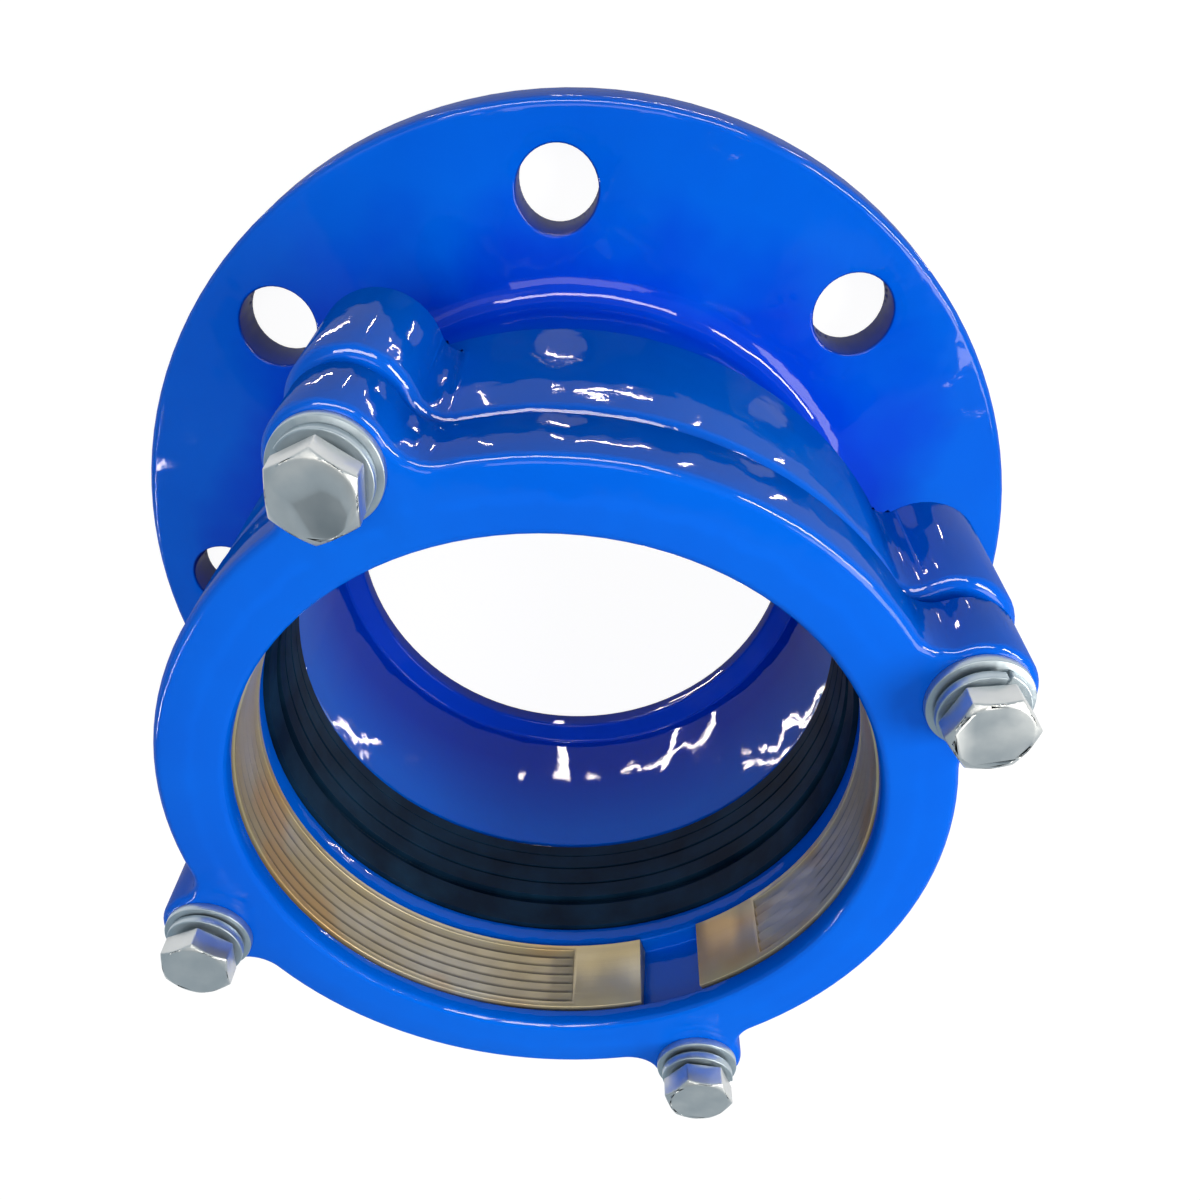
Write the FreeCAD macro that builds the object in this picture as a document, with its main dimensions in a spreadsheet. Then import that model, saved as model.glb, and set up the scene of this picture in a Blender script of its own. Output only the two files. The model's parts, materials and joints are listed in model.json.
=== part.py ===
import FreeCAD, Part
import math
import os

import Sketcher

# Restrained flange adaptor for plastic pipe. The pipe axis is Z, the flange stands on Z = 0
# and the gland is on top. Lengths are in millimetres, angles in degrees.

SIZES = {
    # pipe that the adaptor takes, and the play round it
    "pipe_dia": 160.0,
    "socket_play": 2.0,
    "opening_play": 2.0,
    "web_play": 2.5,
    "ring_play": 1.6,
    "gasket_play": 1.2,
    # flange
    "flange_dia": 285.0,
    "flange_thickness": 19.0,
    "flange_hole_margin": 22.5,
    "flange_hole_dia": 23.0,
    "flange_hole_count": 8,
    "flange_chamfer": 1.5,
    "raised_face_margin": 14.0,
    "raised_face_height": 3.0,
    # barrel of the body
    "body_length": 120.5,
    "stop_height": 7.0,
    "stop_length": 7.0,
    "stop_slope": 2.0,
    "port_chamfer": 1.2,
    "neck_wall": 8.0,
    "neck_end": 56.0,
    "root_radius": 8.0,
    "root_steps": 4,
    "bell_wall": 7.5,
    "bell_start": 70.0,
    "rim_chamfer": 2.2,
    "seat_start": 68.0,
    "seat_height": 10.0,
    "mouth_chamfer": 1.2,
    # bosses of the body
    "bolt_offset": 6.4,
    "bolt_count": 4,
    "bolt_turn_angle": 22.5,
    "boss_dia": 31.0,
    "boss_length": 44.5,
    "boss_back_chamfer": 4.0,
    "boss_blend": 6.0,
    "tapped_depth": 37.0,
    "tapped_chamfer": 1.2,
    # gland
    "gland_gap": 4.0,
    "gland_overhang": 0.5,
    "gland_thickness": 21.5,
    "gland_chamfer": 1.6,
    "nose_length": 18.0,
    "nose_gap": 0.4,
    "nose_chamfer": 1.2,
    "opening_chamfer": 1.2,
    "lip_length": 6.5,
    "web_thickness": 7.7,
    "pocket_wall": 3.4,
    "pocket_taper": 3.5,
    "lug_dia": 27.4,
    "lug_blend": 9.0,
    "lug_hole_dia": 14.0,
    # grip ring
    "ring_length": 24.2,
    "ring_gap": 0.3,
    "ring_split_angle": 13.3,
    "ring_split_turn_angle": -66.7,
    "tooth_count": 6,
    "tooth_depth": 0.8,
    "tooth_relief": 0.05,
    "tooth_margin": 2.0,
    "tooth_free_angle": 15.0,
    # gasket
    "gasket_gap": 0.3,
    "gasket_foot": 1.5,
    # fasteners
    "bolt_dia": 12.0,
    "bolt_length": 60.0,
    "bolt_running_gap": 0.05,
    "bolt_tip_chamfer": 1.2,
    "head_across_flats": 18.0,
    "head_height": 7.5,
    "head_crown_ratio": 0.95,
    "head_face_dia": 16.6,
    "head_face_height": 0.6,
    "head_1_turn_angle": 42.6,
    "head_2_turn_angle": 31.3,
    "head_3_turn_angle": 0.4,
    "head_4_turn_angle": 58.0,
    "washer_dia": 24.0,
    "washer_hole_dia": 13.0,
    "washer_thickness": 2.5,
    "lock_washer_dia": 21.1,
    "lock_washer_hole_dia": 12.9,
    "lock_washer_thickness": 2.5,
    "lock_washer_rise": 1.8,
    "lock_washer_split_angle": 8.0,
}

OVERRUN = 1.0
NEAR = 0.001
HEAD_CHAMFER_ANGLE = 30.0

doc = FreeCAD.newDocument("flange_adaptor")
sheet = doc.addObject("Spreadsheet::Sheet", "Sizes")
for row, (alias, value) in enumerate(SIZES.items(), 1):
    sheet.set(f"A{row}", alias)
    sheet.set(f"B{row}", str(value))
    sheet.setAlias(f"B{row}", alias)
doc.recompute()


# Sizes that carry their sheet formula


class Size:
    """A size: its value now, and the sheet formula that keeps it true."""

    def __init__(self, value, formula):
        self.value = value
        self.formula = formula

    def __add__(self, other):
        return Size(self.value + value_of(other), f"({self.formula} + {formula_of(other)})")

    def __sub__(self, other):
        return Size(self.value - value_of(other), f"({self.formula} - {formula_of(other)})")

    def __mul__(self, other):
        return Size(self.value * value_of(other), f"({self.formula} * {formula_of(other)})")

    def __truediv__(self, other):
        return Size(self.value / value_of(other), f"({self.formula} / {formula_of(other)})")

    def __neg__(self):
        return self * -1


def value_of(size):
    return size.value if isinstance(size, Size) else size


def formula_of(size):
    return size.formula if isinstance(size, Size) else str(size)


def size(alias):
    return Size(SIZES[alias], f"Sizes.{alias}")


def cosine(angle):
    return Size(math.cos(math.radians(angle.value)), f"cos({angle.formula} * 1 deg)")


def sine(angle):
    return Size(math.sin(math.radians(angle.value)), f"sin({angle.formula} * 1 deg)")


def bind(feature, prop, wanted):
    if isinstance(wanted, Size):
        feature.setExpression(prop, wanted.formula)


# Heights along the pipe axis and radii that several pieces share

PIPE_R = size("pipe_dia") / 2
SOCKET_R = PIPE_R + size("socket_play")
MOUTH_R = SOCKET_R + size("seat_height")
BELL_R = MOUTH_R + size("bell_wall")
BOLT_CIRCLE_R = BELL_R + size("bolt_offset")
BOLT_STEP = Size(360, "360") / size("bolt_count")
FLANGE_TOP = size("flange_thickness")
BODY_TOP = size("body_length")
BOSS_BACK = BODY_TOP - size("boss_length")
SEAT_END = size("seat_start") + size("seat_height")
GLAND_BACK = BODY_TOP + size("gland_gap")
GLAND_FRONT = GLAND_BACK + size("gland_thickness")
NOSE_END = GLAND_BACK - size("nose_length")
NOSE_R = MOUTH_R - size("nose_gap")
POCKET_BACK = NOSE_END + size("web_thickness")
POCKET_FRONT = GLAND_FRONT - size("lip_length")
POCKET_BACK_R = NOSE_R - size("pocket_wall")
POCKET_SLOPE = size("pocket_taper") / (POCKET_FRONT - POCKET_BACK)
LOCK_SEAT = GLAND_FRONT + size("washer_thickness") + size("bolt_running_gap")
LOCK_TOP = LOCK_SEAT + size("lock_washer_thickness") + size("lock_washer_rise")
BOLT_SEAT = LOCK_TOP + size("bolt_running_gap")


# Sketches


def origin_feature(body, role):
    return next(feature for feature in body.Origin.OriginFeatures if feature.Role == role)


def new_body(label):
    body = doc.addObject("PartDesign::Body", label)
    body.Label = label
    return body


def turn_body(body, angle):
    """Turns a body about the pipe axis."""
    axis = FreeCAD.Vector(0, 0, 1)
    body.Placement = FreeCAD.Placement(FreeCAD.Vector(), FreeCAD.Rotation(axis, value_of(angle)))
    bind(body, "Placement.Rotation.Angle", angle)


def stand_on_bolt_circle(body, number, height, turn=0):
    """Stands a body on the bolt circle at its own bolt's place, turned with it and a bit more."""
    angle = size("bolt_turn_angle") + BOLT_STEP * number
    turn_body(body, angle + turn)
    places = {"x": BOLT_CIRCLE_R * cosine(angle), "y": BOLT_CIRCLE_R * sine(angle), "z": height}
    for axis, place in places.items():
        setattr(body.Placement.Base, axis, place.value)
        bind(body, f"Placement.Base.{axis}", place)


def new_sketch(body, name, role, offset=None):
    """A sketch on one of the body's own origin planes, moved by offset = (axis, size)."""
    sketch = body.newObject("Sketcher::SketchObject", f"{body.Label}_{name}")
    sketch.AttachmentSupport = [(origin_feature(body, role), "")]
    sketch.MapMode = "FlatFace"
    if offset:
        axis, distance = offset
        shift = FreeCAD.Vector()
        setattr(shift, axis, distance.value)
        sketch.AttachmentOffset = FreeCAD.Placement(shift, FreeCAD.Rotation())
        bind(sketch, f"AttachmentOffset.Base.{axis}", distance)
    return sketch


class Rules:
    """The constraints of a sketch, gathered so that they are solved together."""

    def __init__(self, sketch):
        self.sketch = sketch
        self.constraints = []
        self.bindings = []

    def add(self, *parts):
        self.constraints.append(Sketcher.Constraint(*parts))

    def measure(self, wanted, *parts):
        """A constraint whose value follows a size."""
        self.bindings.append((len(self.constraints), wanted))
        self.add(*parts, value_of(wanted))

    def pin(self, geometry, end, across, up):
        """Holds a point at its distances from the sketch's origin."""
        for kind, axis, place in (("DistanceX", -2, across), ("DistanceY", -1, up)):
            if abs(value_of(place)) < NEAR:
                self.add("PointOnObject", geometry, end, axis)
            elif value_of(place) > 0:
                self.measure(place, kind, -1, 1, geometry, end)
            else:
                self.measure(place * -1, kind, geometry, end, -1, 1)

    def apply(self):
        first = self.sketch.ConstraintCount
        self.sketch.addConstraint(self.constraints)
        for index, wanted in self.bindings:
            bind(self.sketch, f"Constraints[{first + index}]", wanted)


def draw_circle(sketch, across, up, diameter):
    centre = FreeCAD.Vector(value_of(across), value_of(up), 0)
    circle = sketch.addGeometry(Part.Circle(centre, FreeCAD.Vector(0, 0, 1), value_of(diameter) / 2))
    rules = Rules(sketch)
    rules.pin(circle, 3, across, up)
    rules.measure(diameter, "Diameter", circle)
    rules.apply()


def draw_outline(sketch, corners):
    """Draws a closed outline of straight sides through the corners, each (across, up)."""
    points = [FreeCAD.Vector(value_of(across), value_of(up), 0) for across, up in corners]
    ends = points[1:] + points[:1]
    sides = [sketch.addGeometry(Part.LineSegment(*pair)) for pair in zip(points, ends)]
    rules = Rules(sketch)
    for i, corner in enumerate(corners):
        rules.add("Coincident", sides[i - 1], 2, sides[i], 1)
        rules.pin(sides[i], 1, *corner)
    rules.apply()


# Features


def revolve(body, kind, name, sketch, angle=None):
    """Turns a sketch about its upright axis, all the way round or an angle split evenly."""
    feature = body.newObject(f"PartDesign::{kind}", f"{body.Label}_{name}")
    feature.Profile = sketch
    feature.ReferenceAxis = (sketch, ["V_Axis"])
    feature.Angle = 360.0
    if angle:
        feature.Midplane = True
        feature.Angle = angle.value
        bind(feature, "Angle", angle)
    return feature


def coil(body, name, sketch, pitch, turns):
    """Sweeps a sketch along a left-hand helix about its upright axis."""
    feature = body.newObject("PartDesign::AdditiveHelix", f"{body.Label}_{name}")
    feature.Profile = sketch
    feature.ReferenceAxis = (sketch, ["V_Axis"])
    feature.Mode = "pitch-turns-angle"
    feature.Pitch = pitch.value
    feature.Turns = turns.value
    feature.LeftHanded = True
    bind(feature, "Pitch", pitch)
    bind(feature, "Turns", turns)
    return feature


def pad(body, name, sketch, length):
    feature = body.newObject("PartDesign::Pad", f"{body.Label}_{name}")
    feature.Profile = sketch
    feature.Length = length.value
    bind(feature, "Length", length)
    return feature


def pocket_up(body, name, sketch):
    """Cuts from the sketch towards +Z, right through."""
    feature = body.newObject("PartDesign::Pocket", f"{body.Label}_{name}")
    feature.Profile = sketch
    feature.Type = "ThroughAll"
    feature.Reversed = True
    return feature


def repeat_round(body, name, feature, count):
    pattern = body.newObject("PartDesign::PolarPattern", f"{body.Label}_{name}")
    pattern.Originals = [feature]
    pattern.Axis = (origin_feature(body, "Z_Axis"), [""])
    pattern.Angle = 360.0
    pattern.Occurrences = count.value
    bind(pattern, "Occurrences", count)
    body.Tip = pattern
    return pattern


def dress_edges(body, kind, name, amount, chosen):
    """Fillets or chamfers each edge of the body whose points the chosen function accepts."""
    doc.recompute()
    base = body.Tip
    numbered = enumerate(base.Shape.Edges, 1)
    edges = [f"Edge{number}" for number, edge in numbered if chosen(edge.discretize(5))]
    feature = body.newObject(f"PartDesign::{kind}", f"{body.Label}_{name}")
    feature.Base = (base, edges)
    prop = {"Fillet": "Radius", "Chamfer": "Size"}[kind]
    setattr(feature, prop, amount.value)
    bind(feature, prop, amount)
    return feature


def at_level(points, height):
    return all(abs(point.z - height.value) < NEAR for point in points)


def at_radius(points, radius):
    return all(abs(math.hypot(point.x, point.y) - radius.value) < NEAR for point in points)


def is_upright(points):
    across = math.hypot(points[0].x - points[-1].x, points[0].y - points[-1].y)
    return across < NEAR < abs(points[0].z - points[-1].z)


# Body with flange, bell and tapped bosses


def root_corners(neck_r):
    """The hollow root between flange and neck, as a few short cones."""
    radius = size("root_radius")
    step = Size(90, "90") / size("root_steps")
    corners = []
    for number in range(SIZES["root_steps"] + 1):
        angle = step * number
        across = neck_r + radius - radius * sine(angle)
        corners.append((across, FLANGE_TOP + radius - radius * cosine(angle)))
    return corners


def make_flange_body():
    body = new_body("flange_body")
    turn_body(body, size("bolt_turn_angle"))

    outside = new_sketch(body, "outside", "XZ_Plane")
    flange_r = size("flange_dia") / 2
    hole_circle_r = flange_r - size("flange_hole_margin")
    raised_r = hole_circle_r - size("raised_face_margin")
    flange_back = size("raised_face_height")
    chamfer = size("flange_chamfer")
    neck_r = SOCKET_R + size("neck_wall")
    corners = [
        (0, 0),
        (raised_r, 0),
        (raised_r, flange_back),
        (flange_r - chamfer, flange_back),
        (flange_r, flange_back + chamfer),
        (flange_r, FLANGE_TOP - chamfer),
        (flange_r - chamfer, FLANGE_TOP),
    ]
    corners += root_corners(neck_r)
    corners += [
        (neck_r, size("neck_end")),
        (BELL_R, size("bell_start")),
        (BELL_R, BODY_TOP),
        (0, BODY_TOP),
    ]
    draw_outline(outside, corners)
    revolve(body, "Revolution", "barrel", outside)

    boss_r = size("boss_dia") / 2
    back_chamfer = size("boss_back_chamfer")
    boss_sketch = new_sketch(body, "boss_place", "XY_Plane", ("z", BOSS_BACK + back_chamfer))
    draw_circle(boss_sketch, BOLT_CIRCLE_R, 0, size("boss_dia"))
    boss = pad(body, "boss", boss_sketch, size("boss_length") - back_chamfer)
    repeat_round(body, "bosses", boss, size("bolt_count"))
    dress_edges(
        body,
        "Fillet",
        "boss_blends",
        size("boss_blend"),
        lambda points: at_radius(points, BELL_R) and is_upright(points),
    )
    back_section = new_sketch(body, "boss_back_section", "XZ_Plane", ("x", BOLT_CIRCLE_R))
    draw_outline(
        back_section,
        [
            (0, BOSS_BACK),
            (boss_r - back_chamfer, BOSS_BACK),
            (boss_r, BOSS_BACK + back_chamfer),
            (0, BOSS_BACK + back_chamfer),
        ],
    )
    back = revolve(body, "Revolution", "boss_back", back_section)
    repeat_round(body, "boss_backs", back, size("bolt_count"))
    dress_edges(body, "Chamfer", "rim", size("rim_chamfer"), lambda points: at_level(points, BODY_TOP))

    inside = new_sketch(body, "inside", "XZ_Plane")
    port_r = SOCKET_R - size("stop_height")
    port_chamfer = size("port_chamfer")
    mouth_chamfer = size("mouth_chamfer") + OVERRUN
    draw_outline(
        inside,
        [
            (0, -OVERRUN),
            (port_r + port_chamfer + OVERRUN, -OVERRUN),
            (port_r, port_chamfer),
            (port_r, size("stop_length")),
            (SOCKET_R, size("stop_length") + size("stop_slope")),
            (SOCKET_R, size("seat_start")),
            (MOUTH_R, SEAT_END),
            (MOUTH_R, BODY_TOP - size("mouth_chamfer")),
            (MOUTH_R + mouth_chamfer, BODY_TOP + OVERRUN),
            (0, BODY_TOP + OVERRUN),
        ],
    )
    revolve(body, "Groove", "bore", inside)

    hole_sketch = new_sketch(body, "flange_hole_place", "XY_Plane")
    half_step = Size(180, "180") / size("flange_hole_count")
    across = hole_circle_r * cosine(half_step)
    up = hole_circle_r * sine(half_step)
    draw_circle(hole_sketch, across, up, size("flange_hole_dia"))
    hole = pocket_up(body, "flange_hole", hole_sketch)
    repeat_round(body, "flange_holes", hole, size("flange_hole_count"))

    tapped_sketch = new_sketch(body, "tapped_place", "XY_Plane", ("z", BODY_TOP))
    tapped_dia = size("bolt_dia") + size("bolt_running_gap") * 2
    draw_circle(tapped_sketch, BOLT_CIRCLE_R, 0, tapped_dia)
    doc.recompute()
    tapped = body.newObject("PartDesign::Hole", f"{body.Label}_tapped_hole")
    tapped.Profile = tapped_sketch
    tapped.Diameter = tapped_dia.value
    tapped.DepthType = "Dimension"
    tapped.Depth = SIZES["tapped_depth"]
    tapped.DrillPoint = "Angled"
    tapped.HoleCutType = "Countersink"
    tapped.HoleCutCustomValues = True
    tapped.HoleCutDiameter = tapped_dia.value + SIZES["tapped_chamfer"] * 2
    tapped.HoleCutCountersinkAngle = 90.0
    bind(tapped, "Diameter", tapped_dia)
    bind(tapped, "Depth", size("tapped_depth"))
    bind(tapped, "HoleCutDiameter", tapped_dia + size("tapped_chamfer") * 2)
    repeat_round(body, "tapped_holes", tapped, size("bolt_count"))
    return body


# Gland with nose, ring pocket and lugs


def make_gland_ring():
    body = new_body("gland_ring")
    turn_body(body, size("bolt_turn_angle"))
    gland_r = BELL_R + size("gland_overhang")

    outside = new_sketch(body, "outside", "XZ_Plane")
    draw_outline(
        outside,
        [
            (0, NOSE_END),
            (NOSE_R - size("nose_chamfer"), NOSE_END),
            (NOSE_R, NOSE_END + size("nose_chamfer")),
            (NOSE_R, GLAND_BACK),
            (gland_r, GLAND_BACK),
            (gland_r, GLAND_FRONT),
            (0, GLAND_FRONT),
        ],
    )
    revolve(body, "Revolution", "ring", outside)

    lug_sketch = new_sketch(body, "lug_place", "XY_Plane", ("z", GLAND_BACK))
    draw_circle(lug_sketch, BOLT_CIRCLE_R, 0, size("lug_dia"))
    lug = pad(body, "lug", lug_sketch, size("gland_thickness"))
    repeat_round(body, "lugs", lug, size("bolt_count"))
    dress_edges(
        body,
        "Fillet",
        "lug_blends",
        size("lug_blend"),
        lambda points: at_radius(points, gland_r) and is_upright(points),
    )
    dress_edges(
        body,
        "Chamfer",
        "front_rim",
        size("gland_chamfer"),
        lambda points: at_level(points, GLAND_FRONT),
    )

    inside = new_sketch(body, "inside", "XZ_Plane")
    opening_r = PIPE_R + size("opening_play")
    opening_chamfer = size("opening_chamfer")
    web_r = PIPE_R + size("web_play")
    draw_outline(
        inside,
        [
            (0, NOSE_END - OVERRUN),
            (web_r, NOSE_END - OVERRUN),
            (web_r, POCKET_BACK),
            (POCKET_BACK_R, POCKET_BACK),
            (POCKET_BACK_R - size("pocket_taper"), POCKET_FRONT),
            (opening_r, POCKET_FRONT),
            (opening_r, GLAND_FRONT - opening_chamfer),
            (opening_r + opening_chamfer + OVERRUN, GLAND_FRONT + OVERRUN),
            (0, GLAND_FRONT + OVERRUN),
        ],
    )
    revolve(body, "Groove", "pocket", inside)

    hole_sketch = new_sketch(body, "lug_hole_place", "XY_Plane")
    draw_circle(hole_sketch, BOLT_CIRCLE_R, 0, size("lug_hole_dia"))
    hole = pocket_up(body, "lug_hole", hole_sketch)
    repeat_round(body, "lug_holes", hole, size("bolt_count"))
    return body


# Split grip ring with its teeth


def make_grip_ring():
    body = new_body("grip_ring")
    turn_body(body, size("ring_split_turn_angle") + 180)
    ring_r = PIPE_R + size("ring_play")
    gap = size("ring_gap")
    back = POCKET_BACK + gap
    front = back + size("ring_length")
    back_r = POCKET_BACK_R - POCKET_SLOPE * gap - gap
    front_r = back_r - POCKET_SLOPE * size("ring_length")

    section = new_sketch(body, "section", "XZ_Plane")
    draw_outline(section, [(ring_r, back), (back_r, back), (front_r, front), (ring_r, front)])
    whole = Size(360, "360") - size("ring_split_angle")
    revolve(body, "Revolution", "ring", section, whole)

    toothed = new_sketch(body, "teeth_section", "XZ_Plane")
    pitch = (size("ring_length") - size("tooth_margin") * 2) / size("tooth_count")
    first = back + size("tooth_margin")
    crest_r = ring_r + size("tooth_relief")
    corners = [(ring_r - OVERRUN, first)]
    for number in range(SIZES["tooth_count"]):
        foot = first + pitch * number
        corners.append((crest_r, foot))
        corners.append((crest_r + size("tooth_depth"), foot + pitch))
    corners.append((ring_r - OVERRUN, first + pitch * size("tooth_count")))
    draw_outline(toothed, corners)
    revolve(body, "Groove", "teeth", toothed, whole - size("tooth_free_angle") * 2)
    return body


# Gasket between the seat and the gland's nose


def make_gasket():
    body = new_body("gasket")
    inner_r = PIPE_R + size("gasket_play")
    gap = size("gasket_gap")
    outer_r = MOUTH_R - gap
    foot_r = SOCKET_R + size("gasket_foot") - gap
    foot = size("seat_start") + size("gasket_foot") + gap / 2
    front = NOSE_END - gap

    cone_end = foot + outer_r - foot_r

    section = new_sketch(body, "section", "XZ_Plane")
    draw_outline(
        section,
        [(inner_r, foot), (foot_r, foot), (outer_r, cone_end), (outer_r, front), (inner_r, front)],
    )
    revolve(body, "Revolution", "seal", section)
    return body


# Washers, split lock washers and hexagon bolts


def make_washer(number):
    body = new_body(f"washer_{number + 1}")
    stand_on_bolt_circle(body, number, GLAND_FRONT)
    inner_r = size("washer_hole_dia") / 2
    outer_r = size("washer_dia") / 2
    top = size("washer_thickness")
    section = new_sketch(body, "section", "XZ_Plane")
    draw_outline(section, [(inner_r, 0), (outer_r, 0), (outer_r, top), (inner_r, top)])
    revolve(body, "Revolution", "disc", section)
    return body


def make_lock_washer(number):
    body = new_body(f"lock_washer_{number + 1}")
    stand_on_bolt_circle(body, number, LOCK_SEAT, size(f"head_{number + 1}_turn_angle"))
    inner_r = size("lock_washer_hole_dia") / 2
    outer_r = size("lock_washer_dia") / 2
    top = size("lock_washer_thickness")
    section = new_sketch(body, "section", "XZ_Plane")
    draw_outline(section, [(inner_r, 0), (outer_r, 0), (outer_r, top), (inner_r, top)])
    turns = Size(1, "1") - size("lock_washer_split_angle") / 360
    coil(body, "coil", section, size("lock_washer_rise") / turns, turns)
    return body


def make_gland_bolt(number):
    body = new_body(f"gland_bolt_{number + 1}")
    stand_on_bolt_circle(body, number, BOLT_SEAT, size(f"head_{number + 1}_turn_angle"))
    shank_r = size("bolt_dia") / 2
    face_r = size("head_face_dia") / 2
    face = size("head_face_height")
    chamfer = size("bolt_tip_chamfer")
    length = size("bolt_length")

    section = new_sketch(body, "shank_section", "XZ_Plane")
    draw_outline(
        section,
        [
            (0, -length),
            (shank_r - chamfer, -length),
            (shank_r, chamfer - length),
            (shank_r, 0),
            (face_r, 0),
            (face_r, face),
            (0, face),
        ],
    )
    revolve(body, "Revolution", "shank", section)

    hexagon = new_sketch(body, "head_outline", "XY_Plane", ("z", face))
    corner_r = size("head_across_flats") / math.sqrt(3)
    corners = []
    for side in range(6):
        angle = math.radians(60 * side)
        corners.append((corner_r * math.cos(angle), corner_r * math.sin(angle)))
    draw_outline(hexagon, corners)
    pad(body, "head", hexagon, size("head_height") - face)

    crown = new_sketch(body, "crown_section", "XZ_Plane")
    crown_r = size("head_across_flats") / 2 * size("head_crown_ratio")
    outside_r = corner_r + OVERRUN
    drop = (outside_r - crown_r) * math.tan(math.radians(HEAD_CHAMFER_ANGLE))
    top = size("head_height")
    draw_outline(
        crown,
        [(crown_r, top), (outside_r, top - drop), (outside_r, top + OVERRUN), (crown_r, top + OVERRUN)],
    )
    revolve(body, "Groove", "crown", crown)
    return body


# Build, check and write


def faults(pieces):
    """Says in words what is wrong with the document, or gives an empty list."""
    found = []
    for thing in doc.Objects:
        if "Invalid" in thing.State or "Error" in thing.State:
            found.append(f"{thing.Label} did not compute")
        if thing.TypeId in ("PartDesign::Groove", "PartDesign::Pocket", "PartDesign::Hole"):
            if thing.Shape.Volume > thing.BaseFeature.Shape.Volume - NEAR:
                found.append(f"{thing.Label} cuts nothing")
    for piece in pieces:
        if piece.Shape.isNull() or not piece.Shape.isValid():
            found.append(f"{piece.Label} has no valid shape")
        elif len(piece.Shape.Solids) != 1:
            found.append(f"{piece.Label} is not one solid")
    return found


pieces = [make_flange_body(), make_gland_ring(), make_grip_ring(), make_gasket()]
pieces += [make_washer(number) for number in range(SIZES["bolt_count"])]
pieces += [make_lock_washer(number) for number in range(SIZES["bolt_count"])]
pieces += [make_gland_bolt(number) for number in range(SIZES["bolt_count"])]
doc.recompute()
problems = faults(pieces)
if problems:
    raise RuntimeError("; ".join(problems))
os.makedirs("parts", exist_ok=True)
for piece in pieces:
    piece.Shape.exportStep(f"parts/{piece.Label}.step")
    print(piece.Label, "volume", round(piece.Shape.Volume / 1000.0, 2), "cm3")
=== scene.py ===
import json
import math

import bpy
from mathutils import Euler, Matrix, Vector


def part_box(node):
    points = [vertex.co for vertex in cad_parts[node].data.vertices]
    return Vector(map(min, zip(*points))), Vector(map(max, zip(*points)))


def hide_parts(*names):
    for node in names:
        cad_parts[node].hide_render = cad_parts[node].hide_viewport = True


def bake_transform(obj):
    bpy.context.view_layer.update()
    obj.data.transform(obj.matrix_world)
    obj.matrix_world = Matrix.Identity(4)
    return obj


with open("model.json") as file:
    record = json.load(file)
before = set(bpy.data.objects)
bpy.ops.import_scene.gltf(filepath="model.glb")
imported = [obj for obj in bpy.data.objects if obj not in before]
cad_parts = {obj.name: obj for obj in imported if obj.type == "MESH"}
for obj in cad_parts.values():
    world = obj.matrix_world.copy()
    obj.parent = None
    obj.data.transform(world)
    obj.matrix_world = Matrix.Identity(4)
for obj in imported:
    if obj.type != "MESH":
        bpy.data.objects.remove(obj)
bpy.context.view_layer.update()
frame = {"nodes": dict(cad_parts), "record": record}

MM = 0.001
CASTINGS = ("flange_body", "gland_ring")
BOLTS = [name for name in frame["nodes"] if "bolt" in name]
WASHERS = [name for name in frame["nodes"] if "washer" in name]
GLAND_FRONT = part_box("gland_ring")[1].z

# Camera, fitted to the photograph: the part stands on its flange and the camera is turned over
CAMERA_PLACE = (0.01857, 0.18970, 0.34749)
CAMERA_TURN = (-39.0193, 2.4376, -1.9839)
FOCAL_PIXELS = 1093.0
IMAGE_PIXELS = 1200.0
AXIS_PIXEL = (564.8, 746.0)
SENSOR = 36.0
NEAR_CLIP = 0.01

# Rounding that the sharp edges get
CASTING_ROUND = 0.8 * MM
RING_ROUND = 0.15 * MM
BOLT_ROUND = 0.35 * MM
WASHER_ROUND = 0.25 * MM
GASKET_ROUND = 0.35 * MM
CASTING_SEGMENTS = 3
FINE_SEGMENTS = 2
WELD = 0.002 * MM
SHARP_ANGLE = math.radians(28.0)

# Gasket: its grooves from foot to nose, each as height above the foot, width and depth in millimetres
GASKET_GROOVES = ((4.1, 0.6, 0.5), (9.9, 0.9, 1.5), (17.1, 0.9, 1.6), (23.65, 3.8, 2.3))
GROOVE_SLOPE = 0.2 * MM
FOOT_BAND = 0.1 * MM
LATHE_STEPS = 256

# Epoxy: its blues, in cloudy patches, with painted shade round the neck's root and on the flange holes'
# walls
EPOXY_DEEP = (0.0, 0.106, 0.68, 1.0)
EPOXY_PALE = (0.0, 0.130, 0.75, 1.0)
# Painted shade: a deeper blue round the neck's root
EPOXY_NECK_SHADE = (0.0, 0.052, 0.63, 1.0)
# Painted shade: a dark blue on the flange holes' walls
EPOXY_HOLE_SHADE = (0.0, 0.035, 0.34, 1.0)

# Painted shade round the neck's root: full up to the first radius and height, none from the second, and its
# edge wanders
NECK_SHADE_RADIUS = (104 * MM, 128 * MM)
NECK_SHADE_HEIGHT = (26 * MM, 60 * MM)
NECK_SHADE_WANDER = 16 * MM

# Epoxy: the radii between which its waves grow from those in the turned socket to those on cast walls
SOCKET_WALL = (84 * MM, 86 * MM)
WAVE_STRENGTH = (0.2, 0.6)

# Flange holes, from the record's drilling, and the radii between which the painted shade on their walls
# fades out
DRILLING = next(mount["dims"] for mount in frame["record"]["mounts"] if mount["name"] == "flange_bolts")
HOLE_CIRCLE = DRILLING["pcd_mm"] / 2 * MM
HOLE_SPACING = math.tau / DRILLING["count"]
HOLE_RADIUS = DRILLING["hole_r_mm"] * MM
HOLE_FADE = (HOLE_RADIUS + 0.1 * MM, HOLE_RADIUS + 0.6 * MM)

# Brass, from patch to patch, and the tarnish in the teeth's roots
BRASS_PALE = (0.76, 0.71, 0.57, 1.0)
BRASS_TAN = (0.68, 0.54, 0.28, 1.0)
BRASS_ORANGE = (0.80, 0.48, 0.18, 1.0)
TARNISH = (0.06, 0.05, 0.03, 1.0)

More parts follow.
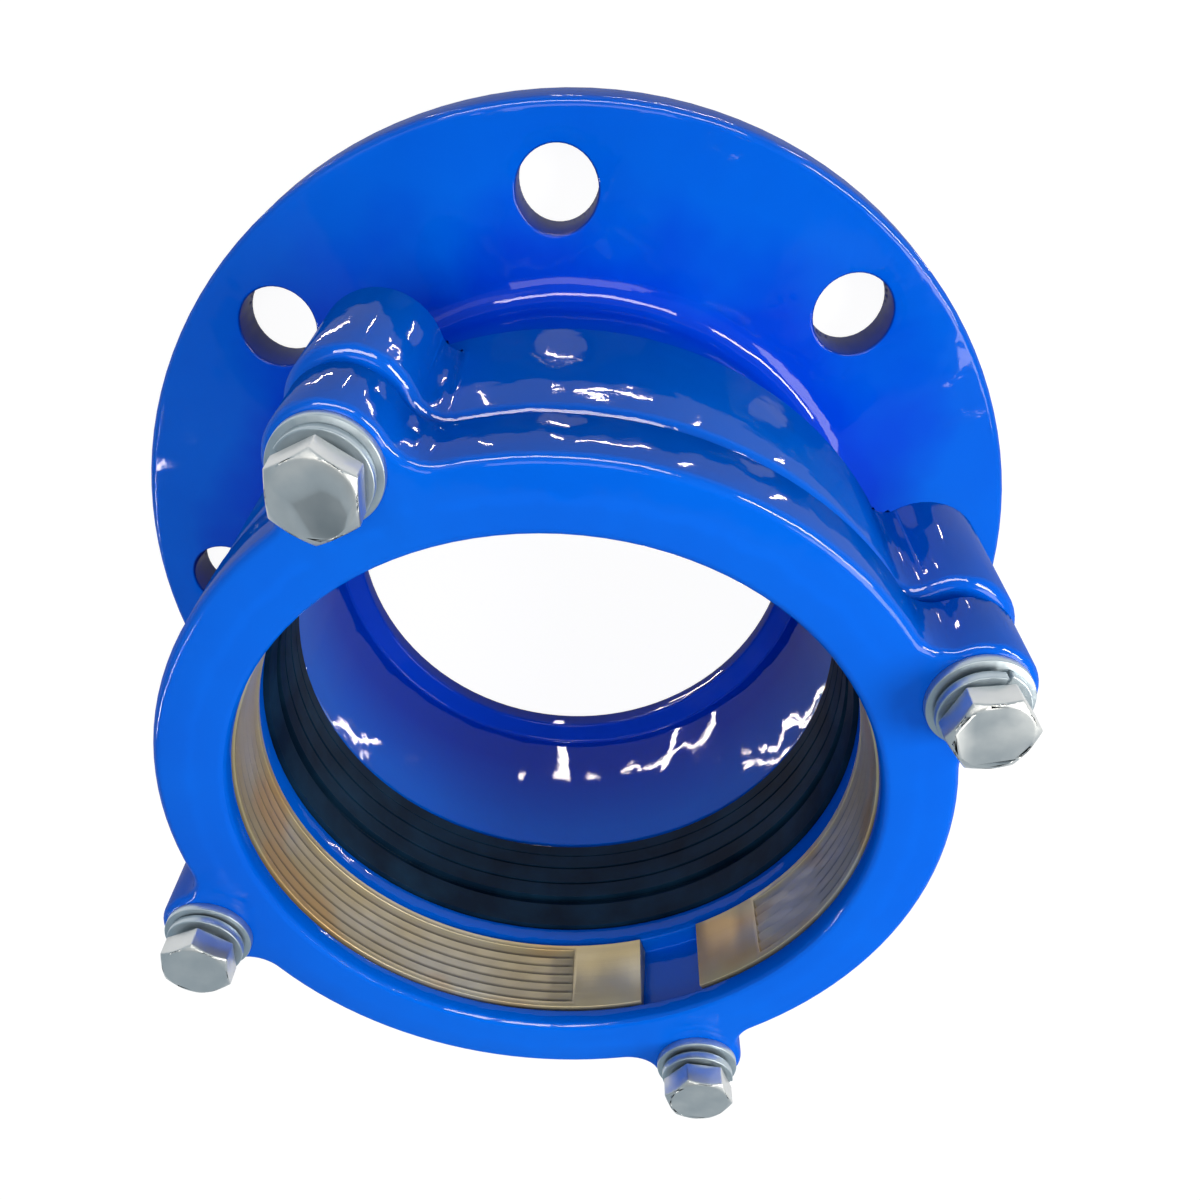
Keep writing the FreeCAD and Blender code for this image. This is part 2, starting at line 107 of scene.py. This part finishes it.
# Grip ring: its teeth, where the root lies in a tooth's height, and the stretch whose roots are clean, as
# the angle of its middle about the pipe axis, half its width, and how soft its ends are, in cosines
TOOTH_COUNT = 6
TOOTH_MARGIN = 2.0 * MM
TOOTH_ROOT = (0.55, 0.72)
CLEAN_MIDDLE = math.radians(-58.0)
CLEAN_HALF = math.radians(30.3)
CLEAN_FADE = (-0.012, 0.004)

# Rubber and its bloom
RUBBER_BLACK = (0.003, 0.013, 0.033, 1.0)
RUBBER_BLOOM = (0.008, 0.036, 0.078, 1.0)

# Zinc plating, dull and bright, and the bolts' thread
BOLT_ZINC = ((0.60, 0.62, 0.62, 1.0), (0.70, 0.71, 0.70, 1.0))
WASHER_ZINC = ((0.44, 0.51, 0.56, 1.0), (0.53, 0.60, 0.64, 1.0))
THREAD_PITCH = 1.75 * MM
THREAD_HEIGHT = 1.2 * MM

# Most of a noise's values lie in this range
NOISE_RANGE = (0.3, 0.7)

WHITE = (1.0, 1.0, 1.0)
CREAM = (1.0, 0.94, 0.86)

# Floor: it lies just under the part, so that the two faces don't meet in one plane
FLOOR_SIZE = 12.0
FLOOR_DROP = 0.1 * MM
FLOOR_COLOUR = (0.15, 0.15, 0.15, 1.0)
FLOOR_GLOW = 0.94

# Sky: its strengths at the sides and overhead, and the heights of its direction between which it changes
SKY_COLOUR = (0.72, 0.88, 1.0, 1.0)
SKY_STRENGTH = (0.48, 0.15)
SKY_EDGE = (0.93, 0.96)
SKY_EDGE_WANDER = 0.04

# Softboxes, which look at the part's middle, each as place, width and height, radiance and colour: the first
# light everything, the others only gleam on the painted castings
MIDDLE = (0.0, 0.0, 0.08)
SOFTBOXES = {
    "key": ((0.50, 0.06, 0.57), (0.3, 0.3), 11.5, CREAM),
    "overhead": ((0.0, 0.42, 1.2), (0.4, 0.4), 5.5, CREAM),
    "front": ((-0.5, 0.85, 0.85), (0.6, 0.4), 1.4, CREAM),
}
GLEAMS = {
    "front_strip": ((0.1, 1.5, 0.78), (1.4, 0.26), 34.0, CREAM),
    "right_strip": ((1.35, 0.75, 0.85), (1.0, 0.2), 60.0, WHITE),
    "left_strip": ((-1.2, -0.45, 0.8), (0.04, 0.9), 60.0, WHITE),
}

# Strip lamps just above the floor, each as start, end and width in millimetres: upright walls mirror them as
# the photograph's streaks. The first seven lie in the port. The others lie beside the flange, except one
# that lies under a flange hole.
PORT_STRIPS = (
    ((-6.8, -70.0), (-5.1, -53.8), 3.0),
    ((-5.1, -53.8), (-4.0, -42.0), 3.0),
    ((29.0, -62.5), (11.6, -50.8), 2.0),
    ((11.6, -50.8), (4.0, -45.5), 1.6),
    ((37.5, -57.5), (18.4, -51.9), 1.2),
    ((18.4, -51.9), (9.0, -48.6), 1.0),
    ((33.0, -63.5), (51.5, -50.0), 1.0),
)
FLANGE_STRIPS = (
    ((-6.0, 126.0), (6.0, 129.5), 1.5),
    ((15.0, 163.0), (55.0, 148.0), 2.5),
    ((-108.0, 128.0), (-72.0, 146.0), 1.5),
    ((-42.0, 152.0), (-36.0, 178.0), 1.5),
    ((-2.0, 158.0), (8.0, 162.0), 2.0),
    ((123.0, 101.0), (124.5, 113.0), 2.0),
    ((84.0, 144.0), (84.0, 159.0), 4.0),
)
PORT_RADIANCE = 90.0
FLANGE_RADIANCE = 110.0
STRIP_HEIGHT = 0.4 * MM


# Nodes


class Tree:
    """The nodes of a material or a world, joined by short calls."""

    def __init__(self, owner, shader, coordinates):
        owner.use_nodes = True
        self.owner = owner
        self.nodes = owner.node_tree.nodes
        self.links = owner.node_tree.links
        self.shader = self.nodes[shader]
        self.place = self.add("ShaderNodeTexCoord").outputs[coordinates]

    def add(self, kind, values=None, **settings):
        node = self.nodes.new(kind)
        for setting, value in settings.items():
            setattr(node, setting, value)
        for socket, value in (values or {}).items():
            self.feed(node.inputs[socket], value)
        return node

    def feed(self, socket, value):
        if isinstance(value, bpy.types.NodeSocket):
            self.links.new(value, socket)
        else:
            socket.default_value = value

    def surface(self, **values):
        """Sets the shader's sockets, whose names have _ for a space."""
        for socket, value in values.items():
            self.feed(self.shader.inputs[socket.replace("_", " ")], value)

    def noise(self, scale=1.0, detail=2.0, roughness=0.5, stretch=None):
        """Noise with so many features a metre, or along each axis where it is stretched."""
        place = self.stretched(stretch) if stretch else self.place
        values = {"Vector": place, "Scale": scale, "Detail": detail, "Roughness": roughness}
        return self.add("ShaderNodeTexNoise", values).outputs["Fac"]

    def stretched(self, scale):
        return self.add("ShaderNodeMapping", {"Vector": self.place, "Scale": scale}).outputs["Vector"]

    def maths(self, operation, *values):
        return self.add("ShaderNodeMath", dict(enumerate(values)), operation=operation).outputs[0]

    def span(self, value, taken, given=(0.0, 1.0), shape="LINEAR"):
        """Takes one range of values to another, and what lies outside to its ends."""
        ends = {"From Min": taken[0], "From Max": taken[1], "To Min": given[0], "To Max": given[1]}
        node = self.add("ShaderNodeMapRange", {"Value": value, **ends}, interpolation_type=shape)
        return node.outputs["Result"]

    def mix(self, factor, first, second):
        """Mixes two colours, which a mix node takes in its sockets 6 and 7."""
        values = {"Factor": factor, 6: first, 7: second}
        return self.add("ShaderNodeMix", values, data_type="RGBA").outputs[2]

    def bump(self, height, distance, strength=1.0, normal=None):
        values = {"Height": height, "Distance": distance, "Strength": strength}
        if normal:
            values["Normal"] = normal
        return self.add("ShaderNodeBump", values).outputs["Normal"]

    def separate(self):
        return self.add("ShaderNodeSeparateXYZ", {"Vector": self.place}).outputs

    def length(self, vector):
        return self.add("ShaderNodeVectorMath", {0: vector}, operation="LENGTH").outputs["Value"]

    def reach(self):
        """The distance from the pipe axis."""
        return self.length(self.stretched((1.0, 1.0, 0.0)))


def material_tree(name):
    return Tree(bpy.data.materials.new(name), "Principled BSDF", "Object")


# Materials


def neck_shade(tree, reach):
    """1 where shade is painted round the neck's root and 0 elsewhere, with a ragged edge."""
    ragged = tree.noise(scale=13.0, detail=4.0, roughness=0.55)
    wander = tree.span(ragged, NOISE_RANGE, (-NECK_SHADE_WANDER, NECK_SHADE_WANDER))
    near = tree.span(tree.maths("ADD", reach, wander), NECK_SHADE_RADIUS, (1.0, 0.0))
    low = tree.span(tree.separate()["Z"], NECK_SHADE_HEIGHT, (1.0, 0.0))
    return tree.maths("MULTIPLY", near, low)


def hole_wall_shade(tree, reach):
    """1 on the walls of the flange's holes, where shade is painted, and 0 elsewhere."""
    across, along = tree.separate()[:2]
    aside = tree.maths("PINGPONG", tree.maths("ARCTAN2", along, across), HOLE_SPACING / 2)
    outward = tree.maths("SUBTRACT", tree.maths("MULTIPLY", reach, tree.maths("COSINE", aside)), HOLE_CIRCLE)
    sideways = tree.maths("MULTIPLY", reach, tree.maths("SINE", aside))
    offset = tree.add("ShaderNodeCombineXYZ", {"X": outward, "Y": sideways}).outputs["Vector"]
    return tree.span(tree.length(offset), HOLE_FADE, (1.0, 0.0))


def epoxy():
    """Thick glossy epoxy over a cast surface: waves, orange peel, a little cloudiness in the blue, and
    painted shade round the neck's root and in the flange holes.
    """
    tree = material_tree("blue_epoxy")
    reach = tree.reach()
    cloud = tree.span(tree.noise(scale=14.0, detail=3.0), (0.35, 0.65))
    blue = tree.mix(cloud, EPOXY_DEEP, EPOXY_PALE)
    # Painted shade round the neck's root, as a deeper blue
    blue = tree.mix(neck_shade(tree, reach), blue, EPOXY_NECK_SHADE)
    # Painted shade on the flange holes' walls, as a dark blue
    blue = tree.mix(hole_wall_shade(tree, reach), blue, EPOXY_HOLE_SHADE)
    wave_strength = tree.span(reach, SOCKET_WALL, WAVE_STRENGTH)
    waves = tree.bump(tree.noise(scale=42.0), distance=1.3 * MM, strength=wave_strength)
    peel = tree.bump(tree.noise(scale=330.0), distance=0.07 * MM, strength=0.6, normal=waves)
    tree.surface(
        Base_Color=blue,
        Roughness=tree.span(tree.noise(scale=90.0, detail=3.0), NOISE_RANGE, (0.06, 0.11)),
        Normal=peel,
        Specular_IOR_Level=0.0,
        Coat_Weight=0.16,
        Coat_IOR=1.85,
        Coat_Roughness=0.05,
        Coat_Normal=peel,
    )
    return tree.owner


def tooth_roots(tree):
    """1 in the roots of the grip ring's teeth and 0 elsewhere, also on the stretch with clean roots."""
    low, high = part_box("grip_ring")
    across, along, up = tree.separate()
    pitch = (high.z - low.z - 2 * TOOTH_MARGIN) / TOOTH_COUNT
    tooth = tree.maths("DIVIDE", tree.maths("SUBTRACT", up, low.z + TOOTH_MARGIN), pitch)
    root = tree.span(tree.maths("FRACT", tooth), TOOTH_ROOT)
    toothed = tree.maths("COMPARE", tooth, TOOTH_COUNT / 2, TOOTH_COUNT / 2)
    sideways = tree.maths("MULTIPLY", along, math.sin(CLEAN_MIDDLE))
    towards = tree.maths("MULTIPLY_ADD", across, math.cos(CLEAN_MIDDLE), sideways)
    cosine = tree.maths("DIVIDE", towards, tree.reach())
    fade = [math.cos(CLEAN_HALF) + step for step in CLEAN_FADE]
    away = tree.span(cosine, fade, (1.0, 0.0))
    return tree.maths("MULTIPLY", tree.maths("MULTIPLY", root, toothed), away)


def brass():
    """Turned brass gone dull: fine lathe lines, patches of tan, grey and orange, dark tooth roots."""
    tree = material_tree("turned_brass")
    lines = tree.noise(roughness=0.6, stretch=(6.0, 6.0, 5200.0))
    patches = tree.span(tree.noise(stretch=(16.0, 16.0, 30.0)), (0.38, 0.62))
    warm = tree.span(tree.noise(stretch=(24.0, 24.0, 40.0)), (0.52, 0.64), (0.0, 0.7))
    tarnished = tree.maths("MULTIPLY", tooth_roots(tree), 0.55)
    metal = tree.mix(patches, BRASS_PALE, BRASS_TAN)
    metal = tree.mix(warm, metal, BRASS_ORANGE)
    metal = tree.mix(tarnished, metal, TARNISH)
    tree.surface(
        Base_Color=metal,
        Roughness=tree.span(lines, NOISE_RANGE, (0.32, 0.48)),
        Normal=tree.bump(lines, distance=0.03 * MM, strength=0.8),
        Metallic=0.65,
    )
    return tree.owner


def rubber():
    """Moulded EPDM: black with a blue cast, fine bloom."""
    tree = material_tree("black_rubber")
    bloom = tree.span(tree.noise(scale=60.0, detail=4.0), (0.35, 0.7))
    streaks = tree.noise(detail=3.0, roughness=0.6, stretch=(30.0, 30.0, 900.0))
    tree.surface(
        Base_Color=tree.mix(bloom, RUBBER_BLACK, RUBBER_BLOOM),
        Roughness=tree.span(streaks, NOISE_RANGE, (0.34, 0.5)),
        Normal=tree.bump(streaks, distance=0.05 * MM, strength=0.6),
        Specular_IOR_Level=0.0,
        Coat_Weight=0.13,
        Coat_IOR=1.6,
        Coat_Roughness=0.3,
    )
    return tree.owner


def zinc(tree, dull, bright):
    """Zinc plating: pale grey, satin, with soft mottling. Gives its grain, as a normal."""
    mottle = tree.span(tree.noise(scale=160.0, detail=3.0), NOISE_RANGE)
    tree.surface(
        Base_Color=tree.mix(mottle, dull, bright),
        Roughness=tree.span(mottle, (0.0, 1.0), (0.36, 0.46)),
        Metallic=0.9,
    )
    return tree.bump(tree.noise(scale=700.0), distance=0.01 * MM, strength=0.5)


def zinc_washer():
    tree = material_tree("zinc_washer")
    tree.surface(Normal=zinc(tree, *WASHER_ZINC))
    return tree.owner


def zinc_bolt(name):
    """Zinc plating with the thread of a bolt below its head, as a fine helical bump."""
    tree = material_tree("zinc_" + name)
    grain = zinc(tree, *BOLT_ZINC)
    low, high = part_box(name)
    axis = (low + high) / 2
    across, along, up = tree.separate()
    sideways = tree.maths("SUBTRACT", across, axis.x)
    angle = tree.maths("ARCTAN2", tree.maths("SUBTRACT", along, axis.y), sideways)
    pitches = tree.maths("DIVIDE", up, THREAD_PITCH)
    turns = tree.maths("SUBTRACT", pitches, tree.maths("DIVIDE", angle, math.tau))
    flank = tree.maths("PINGPONG", turns, 0.5)
    below_head = tree.maths("LESS_THAN", up, GLAND_FRONT)
    thread = tree.maths("MULTIPLY", flank, below_head)
    tree.surface(Normal=tree.bump(thread, distance=THREAD_HEIGHT, normal=grain))
    return tree.owner


def dress(obj, material):
    obj.data.materials.clear()
    obj.data.materials.append(material)


# Shapes


def round_edges(obj, width, segments):
    bevel = obj.modifiers.new("rounding", "BEVEL")
    bevel.width = width
    bevel.segments = segments
    bevel.limit_method = "ANGLE"
    bevel.angle_limit = SHARP_ANGLE
    bevel.harden_normals = True
    return bevel


def give_finish(name, material, rounding, segments=FINE_SEGMENTS):
    """Rounds a CAD node's sharp edges, over its own mesh, and gives it its material."""
    node = frame["nodes"][name]
    node.data.shade_smooth()
    node.modifiers.new("weld", "WELD").merge_threshold = WELD
    round_edges(node, rounding, segments).use_clamp_overlap = False
    dress(node, material)


def lathe(name, outline):
    """A closed ring: an outline of (radius, height) turned about the pipe axis."""
    count = len(outline)
    points = []
    for step in range(LATHE_STEPS):
        turn = math.tau * step / LATHE_STEPS
        points += [(r * math.cos(turn), r * math.sin(turn), z) for r, z in outline]
    faces = []
    for step in range(LATHE_STEPS):
        here = step * count
        there = (step + 1) % LATHE_STEPS * count
        for corner in range(count):
            after = (corner + 1) % count
            faces.append((here + corner, there + corner, there + after, here + after))
    mesh = bpy.data.meshes.new(name)
    mesh.from_pydata(points, [], faces)
    mesh.update()
    obj = bpy.data.objects.new(name, mesh)
    bpy.context.scene.collection.objects.link(obj)
    return obj


def gasket_outline():
    """Half the gasket's section, with the plain solid's size and a groove between each two ribs."""
    low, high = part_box("gasket")
    vertices = [v.co for v in frame["nodes"]["gasket"].data.vertices]
    inner = min(v.xy.length for v in vertices)
    foot = max(v.xy.length for v in vertices if v.z < low.z + FOOT_BAND)
    outer = high.x
    outline = [(outer, high.z), (outer, low.z + outer - foot), (foot, low.z), (inner, low.z)]
    for height, width, depth in GASKET_GROOVES:
        start = low.z + height * MM
        end = start + width * MM
        bottom = inner + depth * MM
        outline += [(inner, start), (bottom, start + GROOVE_SLOPE)]
        outline += [(bottom, end - GROOVE_SLOPE), (inner, end)]
    outline.append((inner, high.z))
    return outline


def ribbed_gasket():
    """The gasket with its ribs, in place of the plain solid. It is squeezed between seat and nose."""
    gasket = lathe("ribbed_gasket", gasket_outline())
    gasket.data.shade_smooth()
    round_edges(gasket, GASKET_ROUND, FINE_SEGMENTS)
    dress(gasket, rubber())
    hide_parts("gasket")
    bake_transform(gasket)


# Floor, light and camera


def seen_directly(tree):
    """1 on camera, glossy and transmission rays, so that the ground shows white, and 0 on others."""
    path = tree.add("ShaderNodeLightPath").outputs
    seen = tree.maths("MAXIMUM", path["Is Camera Ray"], path["Is Glossy Ray"])
    return tree.maths("MAXIMUM", seen, path["Is Transmission Ray"])


def floor():
    bpy.ops.mesh.primitive_plane_add(size=FLOOR_SIZE, location=(0, 0, -FLOOR_DROP))
    plane = bpy.context.object
    plane.name = "floor"
    tree = material_tree("pale_floor")
    tree.surface(
        Base_Color=FLOOR_COLOUR,
        Roughness=0.9,
        Specular_IOR_Level=0.1,
        Emission_Color=(*WHITE, 1.0),
        Emission_Strength=tree.maths("MULTIPLY", seen_directly(tree), FLOOR_GLOW),
    )
    dress(plane, tree.owner)


def sky():
    """An even studio, dimmer straight overhead, with a ragged edge between."""
    world = bpy.data.worlds.new("studio")
    bpy.context.scene.world = world
    tree = Tree(world, "Background", "Generated")
    height = tree.maths("MULTIPLY_ADD", tree.noise(scale=5.0), SKY_EDGE_WANDER, tree.separate()["Z"])
    tree.surface(Color=SKY_COLOUR, Strength=tree.span(height, SKY_EDGE, SKY_STRENGTH, "SMOOTHSTEP"))


def lamp(name, size, radiance, colour):
    """A rectangular lamp of the given radiance, which the camera doesn't see."""
    light = bpy.data.lights.new(name, "AREA")
    light.shape = "RECTANGLE"
    light.size, light.size_y = size
    light.energy = radiance * math.pi * size[0] * size[1]
    light.color = colour
    carrier = bpy.data.objects.new(name, light)
    bpy.context.scene.collection.objects.link(carrier)
    carrier.visible_camera = False
    return carrier


def softbox(name, place, size, radiance, colour):
    """A lamp that looks at the part; its width stays level."""
    carrier = lamp(name, size, radiance, colour)
    carrier.location = place
    carrier.rotation_euler = (Vector(place) - Vector(MIDDLE)).to_track_quat("Z", "Y").to_euler()
    return carrier


def floor_strip(name, start, end, width, radiance):
    """A thin lamp just above the floor from start to end, shining up."""
    start, end = (Vector(point) * MM for point in (start, end))
    run = end - start
    centre = (start + end) / 2
    carrier = lamp(name, (run.length, width * MM), radiance, CREAM)
    carrier.location = (centre.x, centre.y, STRIP_HEIGHT)
    carrier.rotation_euler = (math.pi, 0.0, math.atan2(run.y, run.x))
    return carrier


def gleam(carrier, painted):
    """Leaves only a lamp's gleam on the painted castings: it adds no other light."""
    carrier.visible_diffuse = False
    carrier.light_linking.receiver_collection = painted


def lights():
    for name, values in SOFTBOXES.items():
        softbox(name, *values)
    painted = bpy.data.collections.new("painted")
    for casting in CASTINGS:
        painted.objects.link(frame["nodes"][casting])
    for name, values in GLEAMS.items():
        gleam(softbox(name, *values), painted)
    for number, strip in enumerate(PORT_STRIPS, 1):
        gleam(floor_strip(f"port_strip_{number}", *strip, PORT_RADIANCE), painted)
    for number, strip in enumerate(FLANGE_STRIPS, 1):
        gleam(floor_strip(f"flange_strip_{number}", *strip, FLANGE_RADIANCE), painted)


def camera():
    data = bpy.data.cameras.new("camera")
    data.sensor_width = SENSOR
    data.lens = FOCAL_PIXELS / IMAGE_PIXELS * SENSOR
    data.shift_x = 0.5 - AXIS_PIXEL[0] / IMAGE_PIXELS
    data.shift_y = AXIS_PIXEL[1] / IMAGE_PIXELS - 0.5
    data.clip_start = NEAR_CLIP
    carrier = bpy.data.objects.new("camera", data)
    bpy.context.scene.collection.objects.link(carrier)
    carrier.location = CAMERA_PLACE
    carrier.rotation_euler = Euler([math.radians(turn) for turn in CAMERA_TURN], "XYZ")
    bpy.context.scene.camera = carrier


# The part and its studio

blue_epoxy = epoxy()
for casting in CASTINGS:
    give_finish(casting, blue_epoxy, CASTING_ROUND, CASTING_SEGMENTS)
give_finish("grip_ring", brass(), RING_ROUND)
ribbed_gasket()
washer_zinc = zinc_washer()
for washer in WASHERS:
    give_finish(washer, washer_zinc, WASHER_ROUND)
for bolt in BOLTS:
    give_finish(bolt, zinc_bolt(bolt), BOLT_ROUND)
floor()
sky()
lights()
camera()
bpy.context.scene.view_settings.view_transform = "Standard"
